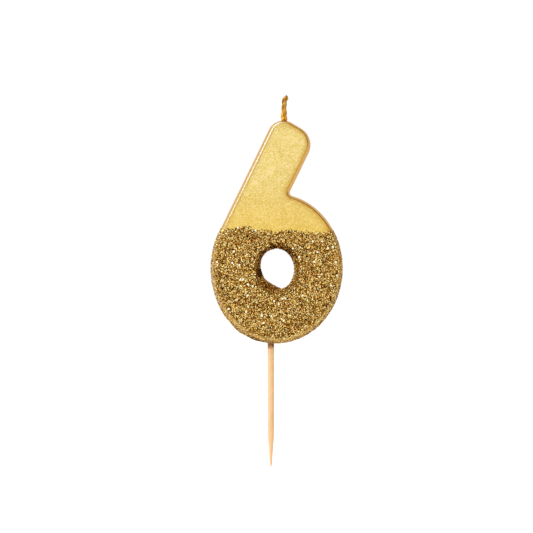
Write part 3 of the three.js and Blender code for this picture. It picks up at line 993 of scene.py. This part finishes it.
def tube(path, radii, sides, ridges=0, ridge_height=0.0, twist=0.0):
    """Vertices and faces of a closed tube along a path, its section ridged and twisted like yarn."""
    tangents = unit(np.gradient(path, axis=0))
    side = unit(np.cross(tangents, [0, 1, 0]))
    other = np.cross(tangents, side)
    around = np.arange(sides) * 2 * math.pi / sides
    turn = twist * np.arange(len(path))[:, None]
    shape = radii[:, None] * (1 + ridge_height * np.abs(np.cos(ridges / 2 * (around[None] + turn))))
    rings = (
        path[:, None]
        + side[:, None] * (shape * np.cos(around))[..., None]
        + other[:, None] * (shape * np.sin(around))[..., None]
    )
    vertices = np.concatenate([rings.reshape(-1, 3), path[:1], path[-1:]])
    count = len(path)
    k = np.arange(sides)
    after = (k + 1) % sides
    centre, base = count * sides, (count - 1) * sides
    start = np.stack([after, k, np.full(sides, centre)], 1)
    end = np.stack([base + k, base + after, np.full(sides, centre + 1)], 1)
    return vertices, ring_quads(count, sides), np.concatenate([start, end])


def loose_fibre(foot, rng):
    """A fibre that springs up and aside from near a yarn's end."""
    start = foot + rng.uniform(-FIBRE_SCATTER, FIBRE_SCATTER, 3)
    lean = np.array([rng.uniform(*limits) for limits in FIBRE_LEAN])
    t = np.linspace(0, 1, FIBRE_STEPS)[:, None]
    path = start + lean * t * FIBRE_LENGTH + rng.uniform(-FIBRE_CURL, FIBRE_CURL, 3) * t**2
    return tube(path, np.linspace(*FIBRE_RADII, FIBRE_STEPS), FIBRE_SIDES)


def joined(tubes):
    """Several tubes' vertices, quads and triangles, as one tube's are given."""
    vertices, quads, ends = zip(*tubes)
    starts = np.cumsum([0] + [len(v) for v in vertices[:-1]])
    return (
        np.concatenate(vertices),
        np.concatenate([q + start for q, start in zip(quads, starts)]),
        np.concatenate([e + start for e, start in zip(ends, starts)]),
    )


def wick():
    """Three ridged yarns in a flat plait, drawn in towards the tip, where fibres stand loose."""
    rng = np.random.default_rng(31)
    route, at = smooth_route(WICK_ROUTE, WICK_STEPS)
    tangents = unit(np.gradient(route, axis=0))
    across = np.stack([tangents[:, 2], np.zeros(len(route)), -tangents[:, 0]], 1)
    share = at / at[-1]
    fullness = np.interp(route[:, 2], *WICK_FULLNESS)
    material = wick_material()
    for number in (1, 2, 3):
        turn = 2 * math.pi * (at / PLAIT_PITCH + number / 3)
        path = route + across * (PLAIT_HALF_WIDTH * fullness * np.sin(turn))[:, None]
        path[:, 1] += PLAIT_HALF_DEPTH * fullness * np.sin(2 * turn)
        kept = (share > YARN_START) & (share < 1 - YARN_STAGGER * (number % 3))
        path = path[kept]
        radii = STRAND_RADIUS * fullness[kept]
        yarn = tube(path, radii, YARN_SIDES, YARN_RIDGES, YARN_RIDGE_HEIGHT, YARN_TWIST)
        fibres = [loose_fibre(path[FIBRE_FOOT], rng) for _ in range(LOOSE_FIBRES)]
        vertices, quads, ends = joined([yarn, *fibres])
        piece = mesh_object(f"wick_yarn_{number}", vertices, [quads, ends], [material])
        declare(piece, f"wick_strand_{number}")


def pick():
    """The turned birch pick: a slightly uneven shaft, a tool-cut taper and a blunt tip."""
    levels = np.append(np.arange(PICK_HIGH[2], PICK_LOW[2], -PICK_STEP), PICK_LOW[2])
    radii = np.interp(levels, *PICK_PROFILE)
    around = np.arange(PICK_SIDES) * 2 * math.pi / PICK_SIDES
    ring = np.stack([np.cos(around), np.sin(around)], 1)
    vertices = np.array([[x * r, y * r, z] for z, r in zip(levels, radii) for x, y in ring])
    out = unit(vertices * [1, 1, 0])
    vertices += out * layered_noise(vertices * STREAK_STRETCH, PICK_STREAKS)[:, None]
    quads = ring_quads(len(levels), PICK_SIDES)[:, [0, 3, 2, 1]]
    top = np.arange(PICK_SIDES)[None, :]
    bottom = ((len(levels) - 1) * PICK_SIDES + np.arange(PICK_SIDES))[::-1][None, :]
    piece = mesh_object("birch_pick", vertices, [quads, top, bottom], [pick_material()])
    declare(piece, "wooden_pick")


GLUE_THICKNESS = 0.04
GLUE_MARGIN = 0.6


def glue_film():
    """The dried glue between the lacquer and the glitter, stopping just under the glitter's edge."""
    vertices, quads, triangles, _ = numeral_surface(
        spacing=0.7, face_spacing=1.4, grow=(0.06, 0.03, 0.06), seed=13, pool=True
    )
    low = below_line(vertices, -GLUE_MARGIN)
    faces = [quads[low[quads].all(1)], triangles[low[triangles].all(1)]]
    piece = mesh_object("glue_film", vertices, faces, [glue_material()])
    thicken(piece, GLUE_THICKNESS)
    declare(piece, "adhesive_coat")


# ---------------------------------------------------------------- stage

FRAME_WIDTH = 170.56  # millimetres across the picture, at the depth that the camera is aimed at
CAMERA_AIM = (-1.4, 2, 24.5)
LENS = 180
SENSOR = 36


def camera():
    data = bpy.data.cameras.new("camera")
    data.lens = LENS
    data.sensor_width = SENSOR
    thing = bpy.data.objects.new("camera", data)
    x, y, z = CAMERA_AIM
    thing.location = x * MM, (y - FRAME_WIDTH * LENS / SENSOR) * MM, z * MM
    thing.rotation_euler = (math.pi / 2, 0, 0)
    bpy.context.scene.collection.objects.link(thing)
    bpy.context.scene.camera = thing


FLOOR_HALF_SIZE = 3000
FLOOR_GAP = 0.3  # millimetres below the pick's tip
FLOOR_GLOW = 0.5
FLOOR_BOUNCE = 0.3


def floor():
    """A pale sheet with a glow of its own, brighter to the camera than to the candle."""
    corners = np.array([[-1, -1, 0], [1, -1, 0], [1, 1, 0], [-1, 1, 0]]) * FLOOR_HALF_SIZE
    level = [0, 0, PICK_LOW[2] - FLOOR_GAP]
    material, tree, shader = new_material("pale_floor", Roughness=0.9)
    colour = ramp(tree, noise_node(tree, 3, 2), (0.3, (0.78, 0.78, 0.78)), (0.7, (0.8, 0.8, 0.8)))
    tree.links.new(colour, shader.inputs["Base Color"])
    shader.inputs["Emission Color"].default_value = (1, 1, 1, 1)
    seen = tree.nodes.new("ShaderNodeLightPath").outputs["Is Camera Ray"]
    glow = in_range(tree, seen, 0, 1, FLOOR_BOUNCE, FLOOR_GLOW)
    tree.links.new(glow, shader.inputs["Emission Strength"])
    plane = mesh_object("floor", corners + level, [[[0, 1, 2, 3]]], [material])


def softbox(name, location, target, size, power):
    """A rectangular lamp in metres and watts, turned to its target."""
    data = bpy.data.lights.new(name, "AREA")
    data.shape = "RECTANGLE"
    data.size, data.size_y = size
    data.energy = power
    thing = bpy.data.objects.new(name, data)
    thing.location = location
    thing.rotation_euler = (Vector(target) - Vector(location)).to_track_quat("-Z", "Y").to_euler()
    bpy.context.scene.collection.objects.link(thing)


BRIGHT_SIDE = (-0.93, 0, -0.37)
ROOM_STRENGTH = 1.5


def dotted(tree, vector, fixed):
    """How far a vector points along a fixed direction."""
    node = tree.nodes.new("ShaderNodeVectorMath")
    node.operation = "DOT_PRODUCT"
    tree.links.new(vector, node.inputs[0])
    node.inputs[1].default_value = fixed
    return node.outputs["Value"]


def studio():
    """A white room, dimmer above the candle's right and behind it, with a soft key and a left strip."""
    world = bpy.data.worlds.new("studio")
    bpy.context.scene.world = world
    world.use_nodes = True
    tree = world.node_tree
    background = tree.nodes["Background"]
    where = tree.nodes.new("ShaderNodeTexCoord").outputs["Generated"]
    around = ramp(
        tree, in_range(tree, dotted(tree, where, BRIGHT_SIDE), -1, 1, 0, 1),
        (0.0, (0.2, 0.12, 0.05)), (0.15, (0.26, 0.16, 0.08)), (0.34, (0.5, 0.42, 0.34)),
        (0.5, (0.93, 0.93, 0.93)), (0.66, (0.64, 0.62, 0.59)), (0.9, (0.6, 0.6, 0.6)),
    )
    behind = in_range(tree, dotted(tree, where, (0, 1, 0)), 0.05, 0.4, 0, 1)
    across = in_range(tree, dotted(tree, where, (1, 0, 0)), -0.3, 0.3, 0, 1)
    far_side = ramp(tree, across, (0, (0.66, 0.66, 0.66)), (1, (0.58, 0.58, 0.58)))
    tree.links.new(blended(tree, around, far_side, behind), background.inputs["Color"])
    background.inputs["Strength"].default_value = ROOM_STRENGTH
    seen = tree.nodes.new("ShaderNodeBackground")
    seen.inputs["Color"].default_value = (1, 1, 1, 1)
    path = tree.nodes.new("ShaderNodeLightPath")
    mix = tree.nodes.new("ShaderNodeMixShader")
    tree.links.new(path.outputs["Is Camera Ray"], mix.inputs["Fac"])
    tree.links.new(background.outputs["Background"], mix.inputs[1])
    tree.links.new(seen.outputs["Background"], mix.inputs[2])
    tree.links.new(mix.outputs["Shader"], tree.nodes["World Output"].inputs["Surface"])
    softbox("key", location=(-0.45, -0.42, 0.5), target=(0, 0, 0.03), size=(0.4, 0.5), power=1.3)
    softbox(
        "left_strip",
        location=(-0.388, -0.01, 0.546), target=(0, 0, 0.05), size=(0.035, 0.55), power=0.66,
    )
    bpy.context.scene.view_settings.view_transform = "Standard"


wax_casting()
gold_skin()
glue_film()
crust_bed()
glitter()
wick()
pick()
camera()
floor()
studio()
